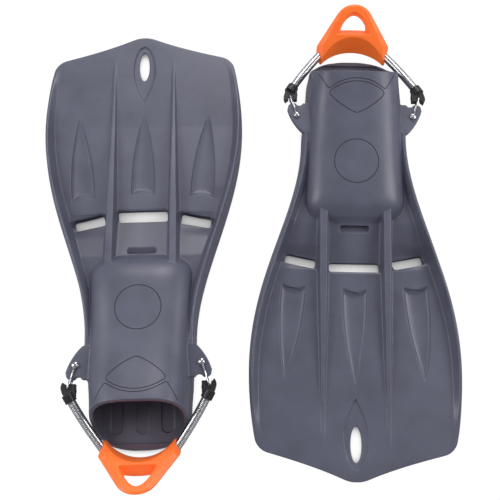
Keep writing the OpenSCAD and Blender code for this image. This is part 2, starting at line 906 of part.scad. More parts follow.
module pull_loop() {
    intersection() {
        linear_extrude(120) polygon(on_floor(pull_edge()));
        on_pull() translate([-100, -60, 0]) cube([200, 200, pull_t]);
    }
}

// Room between the arms of the loop, down to the shelf's sloping face
module finger_room() {
    intersection() {
        linear_extrude(140) polygon(on_floor(finger_edge()));
        translate([-100, shelf_from.x, shelf_from.y])
            rotate([shelf_fall, 0, 0]) translate([0, -150, 0]) cube([200, 150, 150]);
    }
}

module on_pull() {
    translate([0, pull_from.y, pull_from.z]) rotate([180 - pull_rise, 0, 0]) children();
}

module on_pad() {
    translate([0, -pad_back, pad_z]) rotate([pad_lean, 0, 0]) children();
}

module heel_pad() {
    // Step where the cup's wall ends under the upper face of the pull loop
    crease = 0.1;
    color(ORANGE)
        difference() {
            union() {
                pull_loop();
                shelf();
                difference() {
                    on_pad() linear_extrude(60) pad_section();
                    on_pull() translate([-100, -100, -100 + crease]) cube([200, 250, 100]);
                }
            }
            on_pad() translate([0, cup_r, -40]) cylinder(h = 160, r = cup_r, $fn = 128);
            finger_room();
            for (side = [OUTER, INNER])
                on_side(side)
                    translate(spring_to) aim_z(-pad_way) {
                        cylinder(h = 30, r = socket_r);
                        shank_bore();
                    }
        }
}

module left_fin() {
    translate(left_heel_at) rotate(left_turn) children();
}

module right_fin() {
    translate(right_heel_at) rotate(right_turn) children();
}

left_fin() blade();  // left_fin_blade
left_fin() vent_bars();  // left_fin_vent_bars
left_fin() foot_pocket();  // left_fin_foot_pocket
left_fin() heel_pad();  // left_fin_heel_pad
left_fin() pad_plugs();  // left_fin_pad_plugs
left_fin() ear_pin(OUTER);  // left_fin_outer_pin
left_fin() bail(OUTER);  // left_fin_outer_bail
left_fin() clip(OUTER);  // left_fin_outer_clip
left_fin() clip_plug(OUTER);  // left_fin_outer_clip_plug
left_fin() spring(OUTER);  // left_fin_outer_spring
left_fin() ear_pin(INNER);  // left_fin_inner_pin
left_fin() bail(INNER);  // left_fin_inner_bail
left_fin() clip(INNER);  // left_fin_inner_clip
left_fin() clip_plug(INNER);  // left_fin_inner_clip_plug
left_fin() spring(INNER);  // left_fin_inner_spring
right_fin() blade();  // right_fin_blade
right_fin() vent_bars();  // right_fin_vent_bars
right_fin() foot_pocket();  // right_fin_foot_pocket
right_fin() heel_pad();  // right_fin_heel_pad
right_fin() pad_plugs();  // right_fin_pad_plugs
right_fin() ear_pin(OUTER);  // right_fin_outer_pin
right_fin() bail(OUTER);  // right_fin_outer_bail
right_fin() clip(OUTER);  // right_fin_outer_clip
right_fin() clip_plug(OUTER);  // right_fin_outer_clip_plug
right_fin() spring(OUTER);  // right_fin_outer_spring
right_fin() ear_pin(INNER);  // right_fin_inner_pin
right_fin() bail(INNER);  // right_fin_inner_bail
right_fin() clip(INNER);  // right_fin_inner_clip
right_fin() clip_plug(INNER);  // right_fin_inner_clip_plug
right_fin() spring(INNER);  // right_fin_inner_spring
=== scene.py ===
"""Pair of open-heel dive fins with spring heel straps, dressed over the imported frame.

Each fin is worked out in its own coordinates, in millimetres: x across, y from the heel end of
the sole to the tip of the blade, z up from the floor. The outer side is at -x.
"""

import json
import math
from bisect import bisect_right

import bmesh
import bpy
from mathutils import Matrix, Vector


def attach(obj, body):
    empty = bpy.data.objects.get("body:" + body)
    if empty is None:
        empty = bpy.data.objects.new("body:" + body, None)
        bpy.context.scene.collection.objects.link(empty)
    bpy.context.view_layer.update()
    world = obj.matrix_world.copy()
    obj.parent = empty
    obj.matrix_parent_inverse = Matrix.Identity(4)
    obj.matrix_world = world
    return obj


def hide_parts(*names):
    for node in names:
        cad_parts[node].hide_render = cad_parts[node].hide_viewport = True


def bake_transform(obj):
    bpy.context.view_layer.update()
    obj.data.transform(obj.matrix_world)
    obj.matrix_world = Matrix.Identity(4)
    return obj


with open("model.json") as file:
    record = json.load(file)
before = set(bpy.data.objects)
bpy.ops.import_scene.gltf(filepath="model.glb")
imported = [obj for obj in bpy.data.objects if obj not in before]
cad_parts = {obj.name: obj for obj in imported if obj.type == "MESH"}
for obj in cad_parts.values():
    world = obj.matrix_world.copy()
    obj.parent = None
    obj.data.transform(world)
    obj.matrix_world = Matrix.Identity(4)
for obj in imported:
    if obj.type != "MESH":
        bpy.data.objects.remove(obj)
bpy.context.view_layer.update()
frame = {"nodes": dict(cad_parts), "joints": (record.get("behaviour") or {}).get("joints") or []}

bl_info = {
    "name": "Dive fin pair",
    "version": (1, 0, 0),
    "blender": (4, 5, 0),
    "location": "View3D > Sidebar > Dive fins",
    "description": "Makes a pair of open-heel dive fins with spring heel straps",
    "category": "Add Mesh",
}

OUTER, INNER = -1, 1
SIDE_NAMES = {OUTER: "outer", INNER: "inner"}
FIN_NAMES = ("left", "right")


def length_setting(name, description, metres):
    return bpy.props.FloatProperty(name=name, description=description, default=metres, unit="LENGTH")


def colour_setting(name, description, srgb_hex):
    return bpy.props.StringProperty(name=name, description=description, default=srgb_hex)


class FinSizes(bpy.types.PropertyGroup):
    """Sizes of the rubber moulding of one fin."""

    length: length_setting("Length", "Heel end of the sole to the tip", 0.5)
    blade_width: length_setting("Blade width", "Greatest width of the blade", 0.236)
    waist_width: length_setting("Waist width", "Width just ahead of the ears", 0.122)
    pocket_width: length_setting("Pocket width", "Width at the opening", 0.111)
    toe_width: length_setting("Toe width", "Width behind the toe", 0.118)
    opening_height: length_setting("Opening height", "Height of the instep at the opening", 0.078)
    instep_height: length_setting("Instep height", "Height over the toes", 0.054)
    wall: length_setting("Wall", "Wall thickness of the pocket", 0.004)
    sole: length_setting("Sole", "Thickness of the sole", 0.008)
    rib_width: length_setting("Rib width", "Width of an inner rib at the toe", 0.009)
    rib_height: length_setting("Rib height", "Height of an inner rib at the toe", 0.012)
    scoop_depth: length_setting("Scoop depth", "Depth of a scoop at its heel end", 0.0052)
    groove_width: length_setting("Groove width", "Width of the lines on the instep", 0.001)
    grain: length_setting("Mesh grain", "Edge length that the moulding is remeshed at", 0.0006)


class StrapSizes(bpy.types.PropertyGroup):
    """Sizes of the strap hardware."""

    bail_wire: length_setting("Bail wire", "Diameter of the bail's wire", 0.0026)
    spring_width: length_setting("Spring width", "Outside diameter of a spring", 0.0095)
    spring_wire: length_setting("Spring wire", "Diameter of the spring's wire", 0.0016)
    spring_turns: bpy.props.IntProperty(
        name="Spring turns", description="Turns of one spring", default=38, min=24, max=44)


class FinColours(bpy.types.PropertyGroup):
    """Colours of the finishes, as sRGB hex values."""

    rubber: colour_setting("Rubber", "Moulded rubber", "5f6070")
    # Painted shade: dark colour given to the floors of the instep lines.
    groove_shade_colour: colour_setting("Rubber in grooves", "Rubber coloured darker as painted shade at the bottom of a groove", "3a343c")
    pad: colour_setting("Heel pad", "Orange elastomer", "ff7a30")
    clip: colour_setting("Clips", "Black nylon", "262226")
    steel: colour_setting("Steel", "Polished stainless steel", "dcdddd")
    floor: colour_setting("Floor", "Pale studio floor", "b4b4b8")


def sizes():
    return bpy.context.scene.fin_sizes


def straps():
    return bpy.context.scene.strap_sizes


def colours():
    return bpy.context.scene.fin_colours


def mm(length):
    return length * 1000


# Where the fins lie

def pin_of(fin, side):
    joint = {OUTER: "strap_sway", INNER: "inner_bail_swing"}[side]
    name = f"{fin}_fin_{joint}"
    return Vector(next(j["pos_m"] for j in frame["joints"] if j["name"] == name))


PIN = Vector((67.6, 89, 41))


def place_of(fin):
    """Matrix from a fin's own millimetres to the frame, from where its two ear pins are."""
    across = pin_of(fin, INNER) - pin_of(fin, OUTER)
    turn = Matrix.Rotation(math.atan2(across.y, across.x), 4, "Z")
    middle = (pin_of(fin, INNER) + pin_of(fin, OUTER)) / 2
    from_pin = turn @ Vector((0, PIN.y, PIN.z)) / 1000
    return Matrix.Translation(middle - from_pin) @ turn @ Matrix.Scale(0.001, 4)


# Curves and tables

def bezier(a, b, c, d, steps):
    a, b, c, d = Vector(a), Vector(b), Vector(c), Vector(d)
    points = []
    for i in range(steps + 1):
        u = i / steps
        v = 1 - u
        points.append(a * v**3 + 3 * b * v**2 * u + 3 * c * v * u**2 + d * u**3)
    return points


def heading(degrees):
    return Vector((math.cos(math.radians(degrees)), math.sin(math.radians(degrees))))


def smooth_run(rows, x):
    """Value at x of a smooth curve through the rows of (x, value) that never overshoots them."""
    if x <= rows[0][0]:
        return rows[0][1]
    if x >= rows[-1][0]:
        return rows[-1][1]
    i = bisect_right([r[0] for r in rows], x) - 1

    def rise(k):
        return (rows[k + 1][1] - rows[k][1]) / (rows[k + 1][0] - rows[k][0])

    def slope(k):
        if k == 0 or k == len(rows) - 1 or rise(k - 1) * rise(k) <= 0:
            return 0
        return 2 * rise(k - 1) * rise(k) / (rise(k - 1) + rise(k))

    h = rows[i + 1][0] - rows[i][0]
    t = (x - rows[i][0]) / h
    return (rows[i][1] * (1 + 2 * t) * (1 - t) ** 2 + h * slope(i) * t * (1 - t) ** 2
            + rows[i + 1][1] * t**2 * (3 - 2 * t) - h * slope(i + 1) * t**2 * (1 - t))


def straight_run(rows, x):
    """Value at x of straight lines through the rows of (x, value)."""
    if x <= rows[0][0]:
        return rows[0][1]
    if x >= rows[-1][0]:
        return rows[-1][1]
    i = bisect_right([r[0] for r in rows], x) - 1
    t = (x - rows[i][0]) / (rows[i + 1][0] - rows[i][0])
    return rows[i][1] + t * (rows[i + 1][1] - rows[i][1])


# Meshes

def new_object(bm, name):
    mesh = bpy.data.meshes.new(name)
    bm.to_mesh(mesh)
    bm.free()
    obj = bpy.data.objects.new(name, mesh)
    bpy.context.scene.collection.objects.link(obj)
    return obj


def skin(around, along, where):
    """Closed skin: a grid whose corners go to where(u, v), welded at its seam and capped at its ends."""
    bm = bmesh.new()
    bmesh.ops.create_grid(bm, x_segments=around, y_segments=along, size=0.5)
    for v in bm.verts:
        v.co = where(v.co.x + 0.5, v.co.y + 0.5)
    bmesh.ops.remove_doubles(bm, verts=bm.verts, dist=1e-4)
    bmesh.ops.holes_fill(bm, edges=bm.edges)
    bmesh.ops.recalc_face_normals(bm, faces=bm.faces)
    return bm


def prism(outline, low, high, turn=Matrix.Identity(4)):
    """Outline in x and y drawn up from one height to another, then turned."""
    bm = bmesh.new()
    face = bm.faces.new([bm.verts.new((p[0], p[1], low)) for p in outline])
    raised = bmesh.ops.extrude_face_region(bm, geom=[face])
    for v in raised["geom"]:
        if isinstance(v, bmesh.types.BMVert):
            v.co.z = high
    bmesh.ops.transform(bm, matrix=turn, verts=bm.verts)
    bmesh.ops.recalc_face_normals(bm, faces=bm.faces)
    return bm


def slot_outline(width, length, radius):
    """Rectangle with rounded corners round the origin."""
    points = []
    for turn, x, y in ((0, 1, 1), (90, -1, 1), (180, -1, -1), (270, 1, -1)):
        middle = Vector((x * (width / 2 - radius), y * (length / 2 - radius)))
        points += [middle + radius * heading(turn + a) for a in range(0, 91, 15)]
    return points


def both_halves(side):
    return side + [Vector((-p.x, p.y)) for p in reversed(side) if abs(p.x) > 1e-6]


def keep_modifiers(obj):
    """The object's mesh becomes what its modifiers make of it."""
    graph = bpy.context.evaluated_depsgraph_get()
    mesh = bpy.data.meshes.new_from_object(obj.evaluated_get(graph))
    old = obj.data
    obj.modifiers.clear()
    obj.data = mesh
    mesh.name = old.name
    bpy.data.meshes.remove(old)


def combine(obj, bm, operation, material=None):
    """Joins a form to the object, or cuts it out and leaves its material on the cut."""
    tool = new_object(bm, "tool")
    if material:
        tool.data.materials.append(material)
    cut = obj.modifiers.new("cut", "BOOLEAN")
    cut.object = tool
    cut.operation = operation
    cut.solver = "EXACT"
    cut.material_mode = "TRANSFER"
    keep_modifiers(obj)
    bpy.data.meshes.remove(tool.data)


def round_off(obj, grain, passes, most_triangles=None):
    """Remeshes at the grain's size and smooths, which rounds each edge as a mould does."""
    remesh = obj.modifiers.new("grain", "REMESH")
    remesh.mode = "VOXEL"
    remesh.voxel_size = grain
    remesh.use_smooth_shade = True
    smooth = obj.modifiers.new("round", "SMOOTH")
    smooth.factor = 0.5
    smooth.iterations = passes
    keep_modifiers(obj)
    triangles = 2 * len(obj.data.polygons)
    if most_triangles and triangles > most_triangles:
        thin = obj.modifiers.new("thin", "DECIMATE")
        thin.ratio = most_triangles / triangles
        keep_modifiers(obj)


def settle(obj, fin, name, body, material, nodes):
    """Puts a piece made in a fin's millimetres in its place, with its finish, body and CAD nodes."""
    obj.name = name
    obj.data.name = name
    obj.data.transform(place_of(fin))
    if not obj.data.materials:
        obj.data.materials.append(material)
    obj.data.shade_smooth()
    if body:
        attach(obj, body)
    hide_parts(*nodes)


def copy_of(obj):
    twin = obj.copy()
    twin.data = obj.data.copy()
    bpy.context.scene.collection.objects.link(twin)
    return twin


# Form of the moulding, in millimetres and degrees

EAR_Z, EAR_T = 41, 7.2
EAR_TOP = EAR_Z + EAR_T / 2
EAR_REAR, EAR_FRONT = PIN.y - 15.5, PIN.y + 21
EAR_REACH = 78.5
TOE_Y, TOE_Z, TOE_FOOT_Z, TOE_R = 216, 37, 27, 28
ARCH = 0.57
VENT_Y, VENT_L, VENT_R, VENT_FLOOR = 264, 11.5, 2.5, 13
VENT_MIDDLE_W, VENT_SIDE_W, VENT_OFF_RIB = 57, 35, 3.8
VENT_SIDE_BACK, VENT_TURN, VENT_TURN_FROM = 3, 11.5, 16
RIB_X, RIB_FOOT, RIB_TOP_SHARE, RIB_END_BACK, RIB_LEVEL_AHEAD = 36, 2, 0.62, 22, 22
BLADE_ROOT_Z, BLADE_ROOT_T, TIP_Z, TIP_T = 20, 7, 9.5, 4.5
RAIL_W, RAIL_CREST_W, RAIL_FOOT_W = 6, 3, 8.5
RAIL_VENT_Z, RAIL_DRAFT = 37, 0.26
SCOOP_L, SCOOP_W, SCOOP_TAIL, SCOOP_LEAN = 109, 27, 10.5, 4.9
SCOOP_AHEAD, SCOOP_SIDE_AHEAD, SCOOP_OFF_RIB = 24, 20, 32.5
HANG_L, HANG_W, HANG_BACK, RECESS_D = 38.5, 12, 39.5, 2.2
DRAIN_AHEAD, DRAIN_SLANT, DRAIN_W, DRAIN_H, DRAIN_R = 5.5, 62, 33, 5.6, 2
DRAIN_INWARD, DRAIN_OUTWARD = 18, 10
SOLE_GROOVES_X, SOLE_GROOVE_Y = (-28, 0, 28), 84
SOLE_GROOVE_L, SOLE_GROOVE_W, SOLE_GROOVE_D = 132, 14, 1.5
MOULDING_TRIANGLES = 185000
WIDEST_BACK, SHOULDER_BACK, SHOULDER_IN, SHOULDER_R, TIP_R = 122, 45, 7.5, 20, 35


class Moulding:
    """Outline, heights and sections of one fin's rubber."""

    def __init__(self):
        s = sizes()
        self.length = mm(s.length)
        self.rim = mm(s.sole) + 1
        self.widest = self.length - WIDEST_BACK
        self.rail_end = self.length - SHOULDER_BACK + 10
        half, waist, sole = mm(s.blade_width) / 2, mm(s.waist_width) / 2, mm(s.pocket_width) / 2 - 1
        shoulder = Vector((half - SHOULDER_IN, self.length - SHOULDER_BACK))
        turn, tip_at = [shoulder], self.length - TIP_R
        for i in range(1, 33):
            turn.append(turn[-1] + SHOULDER_R * math.radians(2) * heading(100 + 2 * i))
        tip = Vector((TIP_R * math.cos(math.radians(67)), tip_at + TIP_R * math.sin(math.radians(67))))
        reach = (turn[-1] - tip).length / 3
        self.edge = (
            bezier((0, 0), (32, 0), (sole - 2, 8), (sole, 40), 40)[3:]
            + bezier((sole, 40), (sole + 0.5, 62), (waist - 1, 85), (waist, 115), 40)[1:]
            + bezier((waist, 115), (waist + 1, 200), (half, self.widest - 108), (half, self.widest), 120)[1:]
            + bezier((half, self.widest), (half, self.widest + 32), shoulder - 20 * heading(101),
                     shoulder, 36)[1:]
            + turn[1:]
            + bezier(turn[-1], turn[-1] + reach * heading(165), tip - reach * heading(157), tip, 30)[1:]
            + [Vector((TIP_R * math.sin(math.radians(a)), tip_at + TIP_R * math.cos(math.radians(a))))
               for a in (20, 17, 14, 11, 8, 5)]
        )
        self.edge_rows = [(p.y, p.x) for p in self.edge]
        middle_z = (BLADE_ROOT_Z + TIP_Z) / 2 - 2
        lip = VENT_Y + VENT_L / 2 + 1
        self.top_rows = [
            (EAR_REAR - 9, self.rim), (EAR_REAR, EAR_TOP - 1.4), (EAR_FRONT, EAR_TOP - 1.4),
            (EAR_FRONT + 8, EAR_TOP - 2.8), (EAR_FRONT + 29, EAR_TOP - 10.2),
            (EAR_FRONT + 38, EAR_TOP - 11.5), (TOE_Y - 2, TOE_FOOT_Z),
            (VENT_Y - VENT_L / 2, VENT_FLOOR), (VENT_Y, VENT_FLOOR), (lip, BLADE_ROOT_Z),
            (self.widest, middle_z), (self.length, TIP_Z)]
        self.base_rows = [
            (TOE_Y - 30, 0), (TOE_Y + 6, VENT_FLOOR - 6), (VENT_Y, VENT_FLOOR - 6),
            (lip, BLADE_ROOT_Z - BLADE_ROOT_T),
            (self.widest, middle_z - (BLADE_ROOT_T + TIP_T) / 2), (self.length, TIP_Z - TIP_T)]
        self.rail_rows = [
            (EAR_REAR - 9, self.rim), (EAR_REAR, EAR_TOP - 0.3), (EAR_FRONT, EAR_TOP - 0.3),
            (VENT_Y, RAIL_VENT_Z), (self.widest, (RAIL_VENT_Z + TIP_Z) / 2),
            (self.rail_end, self.top(self.rail_end)), (self.length, TIP_Z)]
        self.rail_base_rows = [
            (self.rail_end - 50, 0), (self.rail_end, self.base(self.rail_end)), (self.length, TIP_Z - TIP_T)]
        self.rib_rows = [
            (TOE_Y - 40, 0), (TOE_Y - 15, mm(s.rib_height)), (VENT_Y, mm(s.rib_height)),
            (self.length - RIB_END_BACK, 0)]
        self.rib_half_rows = [(VENT_Y, mm(s.rib_width) / 2 + RIB_FOOT), (self.length - RIB_END_BACK, 1.2)]
        # Between the toe and the blade there are no rows, so the crests bridge the vents in a straight run
        starts, stops = range(0, TOE_Y, 4), range(int(lip) + RIB_LEVEL_AHEAD, int(self.length) + 1, 6)
        self.rib_top_rows = [(y, self.top(y) + smooth_run(self.rib_rows, y)) for y in (*starts, *stops)]
        self.ridge_rows = [
            (0, mm(s.opening_height) + 12), (48, mm(s.opening_height)),
            (94, mm(s.opening_height + s.instep_height) / 2 - 1), (130, mm(s.instep_height) + 4),
            (172, mm(s.instep_height) - 1.5), (TOE_Y - 30, mm(s.instep_height) - 4),
            (TOE_Y - 18, (mm(s.instep_height) + TOE_Z) / 2), (TOE_Y - 8.5, TOE_Z),
            (TOE_Y - 1.5, TOE_FOOT_Z), (TOE_Y + 2, TOE_FOOT_Z - 2)]

    def half_width(self, y):
        return straight_run(self.edge_rows, y)

    def top(self, y):
        return straight_run(self.top_rows, y)

    def base(self, y):
        return straight_run(self.base_rows, y)

    def section(self, x, y):
        """Points round the moulding at y, from the middle of the underside up by +x and down by -x."""
        k = min(1, x / 60)
        top, base = self.top(y), self.base(y)
        crest = max(smooth_run(self.rail_rows, y), top)
        foot = min(straight_run(self.rail_base_rows, y), base)
        wide_z = foot + 0.35 * (crest - foot)
        lean = straight_run([(EAR_FRONT, RAIL_DRAFT / 3), (VENT_Y, RAIL_DRAFT)], y)
        out = x - lean * max(0, crest - wide_z - 6)
        rib = min(RIB_X, 0.5 * x)
        # The side vents lie back from the middle one and turn back towards the rails, and so do their lips
        slant = smooth_run([(VENT_Y - 28, 0), (VENT_Y - 12, 1), (VENT_Y + 18, 1), (VENT_Y + 36, 0)], y)
        side_top = self.top(y + VENT_SIDE_BACK * slant)
        turned_back = math.tan(math.radians(VENT_TURN)) * max(0, out - RIB_X - VENT_TURN_FROM)
        edge_top = self.top(y + slant * (VENT_SIDE_BACK + turned_back))
        half = straight_run(self.rib_half_rows, y) * k
        crest_z = straight_run(self.rib_top_rows, y)
        right = [
            (0, base + min(0.4 * k, base / 10)), (x - k * (RAIL_W + 4), base), (x - k * RAIL_W, foot),
            (x - k * 1.5, foot), (x, wide_z), (out, crest - 1.2), (out - k * 1.2, crest),
            (out - k * RAIL_CREST_W, crest), (out - k * RAIL_FOOT_W, edge_top), (rib + half, side_top),
            (rib + half * RIB_TOP_SHARE, crest_z), (rib - half * RIB_TOP_SHARE, crest_z), (rib - half, top),
            (0, top - 0.4 * k)]
        return right + [(-px, pz) for px, pz in reversed(right[1:-1])]

    def deck(self):
        """Sole, tub, rails, channels, blade and ribs."""
        count = len(self.section(50, 100))
        rings = [[Vector((x, p.y, z)) for x, z in self.section(p.x, p.y)] for p in self.edge]

        def where(u, v):
            return rings[round(v * (len(rings) - 1))][round(u * count) % count]

        return skin(count, len(rings) - 1, where)

    def pocket_half_width(self, y, inset):
        s = sizes()
        straight = straight_run([(40, mm(s.pocket_width) / 2), (TOE_Y - TOE_R, mm(s.toe_width) / 2)], y)
        corner = max(TOE_R - inset, 4)
        d = min(max(0, y - (TOE_Y + 2 - TOE_R)), corner * 0.98)
        return min(straight, self.half_width(y) - 0.6) - inset - corner + math.sqrt(corner**2 - d**2)

    def ridge(self, y):
        return smooth_run(self.ridge_rows, y)

    def pocket(self, inset, base, y_from, y_to):
        """Arched form of the foot pocket; inset moves it inwards."""
        arch, along = 72, 120

        def where(u, v):
            y = y_from + (y_to - y_from) * v
            half, top = self.pocket_half_width(y, inset), self.ridge(y + inset) - inset
            a = math.pi * min(u / 0.9, 1)
            across = half * math.copysign(abs(math.cos(a)) ** ARCH, math.cos(a))
            if u > 0.9:
                across = half * (20 * (u - 0.9) - 1)
            return Vector((across, y, base + (top - base) * max(math.sin(a), 0) ** ARCH))

        return skin(arch, along, where)

    def instep(self, x, y):
        """Height of the pocket's outside above a point of the floor."""
        base = mm(sizes().sole) / 2
        half = self.pocket_half_width(y, 0)
        return base + (self.ridge(y) - base) * (1 - min(1, abs(x) / half) ** (2 / ARCH)) ** (ARCH / 2)

    def opening(self):
        """Tool that cuts the slanted mouth of the pocket, drawn in side view."""
        rim, high = self.rim - 0.2, mm(sizes().opening_height)
        side = [(-60, rim), (1, rim), (13, 0.19 * high), (27, 0.4 * high), (37, 0.692 * high), (48, high),
                (52, high + 30), (-60, high + 30)]
        turn = Matrix(((0, 0, 1, 0), (1, 0, 0, 0), (0, 1, 0, 0), (0, 0, 0, 1)))
        return prism(side, -100, 100, turn)

    def ear(self, side):
        """Flat ear that holds the strap's pin, with the notch behind it."""
        tip = [Vector((EAR_REACH - 6, EAR_REAR))]
        for a in range(5, 101, 5):
            tip.append(tip[-1] + 5.5 * math.radians(5) * heading(a))
        front = bezier((EAR_REACH, EAR_REAR + 7), (EAR_REACH - 3, PIN.y + 3), (PIN.x, PIN.y + 15),
                       (self.half_width(EAR_FRONT) - 0.5, EAR_FRONT), 16)
        notch = [Vector((PIN.x - 3, EAR_REAR - 1.5)) + 4.5 * heading(a) for a in range(160, 19, -10)]
        root_x = PIN.x - 18.4
        outline = [Vector((root_x, EAR_REAR))] + notch + tip + front + [Vector((root_x, EAR_FRONT))]
        return prism([(side * p.x, p.y) for p in outline], EAR_Z - EAR_T / 2, EAR_TOP)

    def scoop(self, x, y, lean):
        """Trough with a bullet outline and a swallow-tail heel end."""
        depth = mm(sizes().scoop_depth)

        def where(u, v):
            t = v * 0.99
            half = SCOOP_W / 2 * (1 + 0.7 * t) * (1 - t**1.35)
            along = VENT_Y + SCOOP_AHEAD + SCOOP_L * t
            if u > 0.8:
                b = math.pi * (u - 0.8) / 0.2
                return Vector((half * math.cos(b), along, self.top(along) + 4 * math.sin(b)))
            a = math.pi * (1 - u / 0.8)
            tail = SCOOP_TAIL * math.sin(a) * (1 - t) ** 8
            floor = depth * (1 - t) ** 0.4 * max(math.sin(a), 0) ** 0.7
            return Vector((half * math.cos(a), along + tail, self.top(along) - floor))

        bm = skin(30, 40, where)
        turn = Matrix.Translation((x, y, 0)) @ Matrix.Rotation(math.radians(lean), 4, "Z")
        to_heel_end = Matrix.Translation((0, -VENT_Y - SCOOP_AHEAD, 0))
        bmesh.ops.transform(bm, matrix=turn @ to_heel_end, verts=bm.verts)
        return bm

    def vent(self, side):
        """Slot through the fin: the middle one square across, the side ones turned back."""
        if side == 0:
            middle = slot_outline(VENT_MIDDLE_W, VENT_L, VENT_R)
            return prism([p + Vector((0, VENT_Y)) for p in middle], -5, 60)
        turn = Matrix.Rotation(math.radians(-side * VENT_TURN), 4, "Z")
        near = RIB_X + mm(sizes().rib_width) / 2 + VENT_OFF_RIB
        place = Matrix.Translation((side * near, VENT_Y - VENT_SIDE_BACK, 0)) @ turn
        outline = slot_outline(VENT_SIDE_W, VENT_L, VENT_R)
        return prism([p + Vector((side * VENT_SIDE_W / 2, 0)) for p in outline], -5, 60, place)

    def hang_hole(self):
        y = self.length - HANG_BACK
        ring = [Vector((HANG_W / 2 * math.cos(math.radians(a)), y + HANG_L / 2 * math.sin(math.radians(a))))
                for a in range(0, 360, 6)]
        return prism(ring, -5, 40)

    def recess(self):
        """Tool that sinks a teardrop round the hang hole, along the fall of the blade."""
        y = self.length - HANG_BACK
        half, wide = HANG_W / 2 + 7.2, -HANG_L * 0.18
        point, end = HANG_L / 2 + 30, HANG_L / 2 + 7.5
        side = (bezier((0, -point), (half * 0.55, -point + 14), (half, wide - 15), (half, wide), 20)
                + bezier((half, wide), (half, wide + 17), (half * 0.55, end), (0, end), 20)[1:])
        fall = math.atan2(self.top(y - point) - self.top(y + end), point + end)
        turn = (Matrix.Translation((0, y - point, self.top(y - point) - RECESS_D))
                @ Matrix.Rotation(-fall, 4, "X") @ Matrix.Translation((0, point, 0)))
        return prism(both_halves(side), 0, 20, turn)

    def sole_groove(self, x):
        slot = slot_outline(SOLE_GROOVE_W, SOLE_GROOVE_L, SOLE_GROOVE_W / 2 - 0.1)
        sole = mm(sizes().sole)
        outline = [p + Vector((x, SOLE_GROOVE_Y)) for p in slot]
        return prism(outline, sole - SOLE_GROOVE_D, sole + SOLE_GROOVE_D)

    def toe_drain(self):
        """Slanting way from the floor of the middle channel into the toe."""
        y = TOE_Y + DRAIN_AHEAD
        turn = Matrix.Translation((0, y, self.top(y))) @ Matrix.Rotation(math.radians(-DRAIN_SLANT), 4, "X")
        return prism(slot_outline(DRAIN_W, DRAIN_H, DRAIN_R), -DRAIN_INWARD, DRAIN_OUTWARD, turn)

    def instep_lines(self):
        """Paths of the lines on the instep: ring, rounded triangle and the arc behind it."""
        ring = [Vector((0, 149)) + 25 * heading(a) for a in range(0, 360, 4)]
        flank = (bezier((0, 94), (9, 92), (24, 81), (29.5, 74.5), 16)
                 + bezier((29.5, 74.5), (31.6, 72), (31, 69), (28, 67.7), 8)[1:]
                 + bezier((28, 67.7), (20, 62.5), (10, 59.3), (0, 59.3), 16)[1:])
        triangle = flank + [Vector((-p.x, p.y)) for p in reversed(flank[1:-1])]
        wing = (bezier((43.5, 47), (40, 54), (36.5, 60), (34, 64), 12)
                + bezier((34, 64), (32.8, 66), (31, 66.3), (29, 65), 6)[1:]
                + bezier((29, 65), (20, 58.8), (10, 56), (0, 56), 16)[1:])
        arc = wing + [Vector((-p.x, p.y)) for p in reversed(wing[:-1])]
        return [(ring, True), (triangle, True), (arc, False)]

    def line_cutter(self, path, closed):
        """Round tool that follows a path on the instep."""
        radius = mm(sizes().groove_width) / 2
        spine = [Vector((p.x, p.y, self.instep(p.x, p.y) + radius * 0.15)) for p in path]
        last = len(spine) - 1

        def where(u, v):
            n = len(spine)
            i = round(v * (n if closed else last))
            ahead = spine[(i + 1) % n] if closed else spine[min(i + 1, last)]
            behind = spine[(i - 1) % n] if closed else spine[max(i - 1, 0)]
            way = (ahead - behind).normalized()
            side = way.cross(Vector((0, 0, 1))).normalized()
            up = side.cross(way)
            a = 2 * math.pi * u
            return spine[i % n] + radius * (math.cos(a) * side + math.sin(a) * up)

        return skin(10, len(spine) if closed else last, where)

    def make(self, groove_shade_finish):
        """The whole moulding: forms joined, hollows cut, edges rounded, lines cut in the instep and coloured
        with painted shade.
        """
        obj = new_object(self.deck(), "moulding")
        s = sizes()
        wall, sole = mm(s.wall), mm(s.sole)
        combine(obj, self.pocket(inset=0, base=sole / 2, y_from=3, y_to=TOE_Y + 1.5), "UNION")
        for side in (OUTER, INNER):
            combine(obj, self.ear(side), "UNION")
        combine(obj, self.pocket(inset=wall, base=sole, y_from=7, y_to=TOE_Y - wall - 1), "DIFFERENCE")
        combine(obj, self.opening(), "DIFFERENCE")
        for x in SOLE_GROOVES_X:
            combine(obj, self.sole_groove(x), "DIFFERENCE")
        combine(obj, self.toe_drain(), "DIFFERENCE")
        for side in (OUTER, 0, INNER):
            combine(obj, self.vent(side), "DIFFERENCE")
        combine(obj, self.scoop(0, VENT_Y + SCOOP_AHEAD, 0), "DIFFERENCE")
        for side in (OUTER, INNER):
            x, y = side * (RIB_X + SCOOP_OFF_RIB), VENT_Y + SCOOP_SIDE_AHEAD
            combine(obj, self.scoop(x, y, -side * SCOOP_LEAN), "DIFFERENCE")
        combine(obj, self.hang_hole(), "DIFFERENCE")
        combine(obj, self.recess(), "DIFFERENCE")
        round_off(obj, mm(s.grain), passes=6, most_triangles=MOULDING_TRIANGLES)
        obj.data.materials.clear()
        obj.data.materials.append(moulded_rubber())
        for path, closed in self.instep_lines():
            # The cut faces take the groove finish, a dark colour painted as shade in the lines.
            combine(obj, self.line_cutter(path, closed), "DIFFERENCE", groove_shade_finish)
        return obj


# Finishes

def hex_colour(text):
    """Linear colour of an sRGB hex value."""
    channels = [int(text[i:i + 2], 16) / 255 for i in (0, 2, 4)]
    return (*[c / 12.92 if c <= 0.04045 else ((c + 0.055) / 1.055) ** 2.4 for c in channels], 1)


def add_node(tree, kind, settings=None, inputs=None, links=None):
    """Adds a node, sets its properties and input values, and links its inputs to other nodes' outputs."""
    node = tree.nodes.new(kind)
    for key, value in (settings or {}).items():
        setattr(node, key, value)
    for key, value in (inputs or {}).items():
        node.inputs[key].default_value = value
    for key, socket in (links or {}).items():
        tree.links.new(socket, node.inputs[key])
    return node


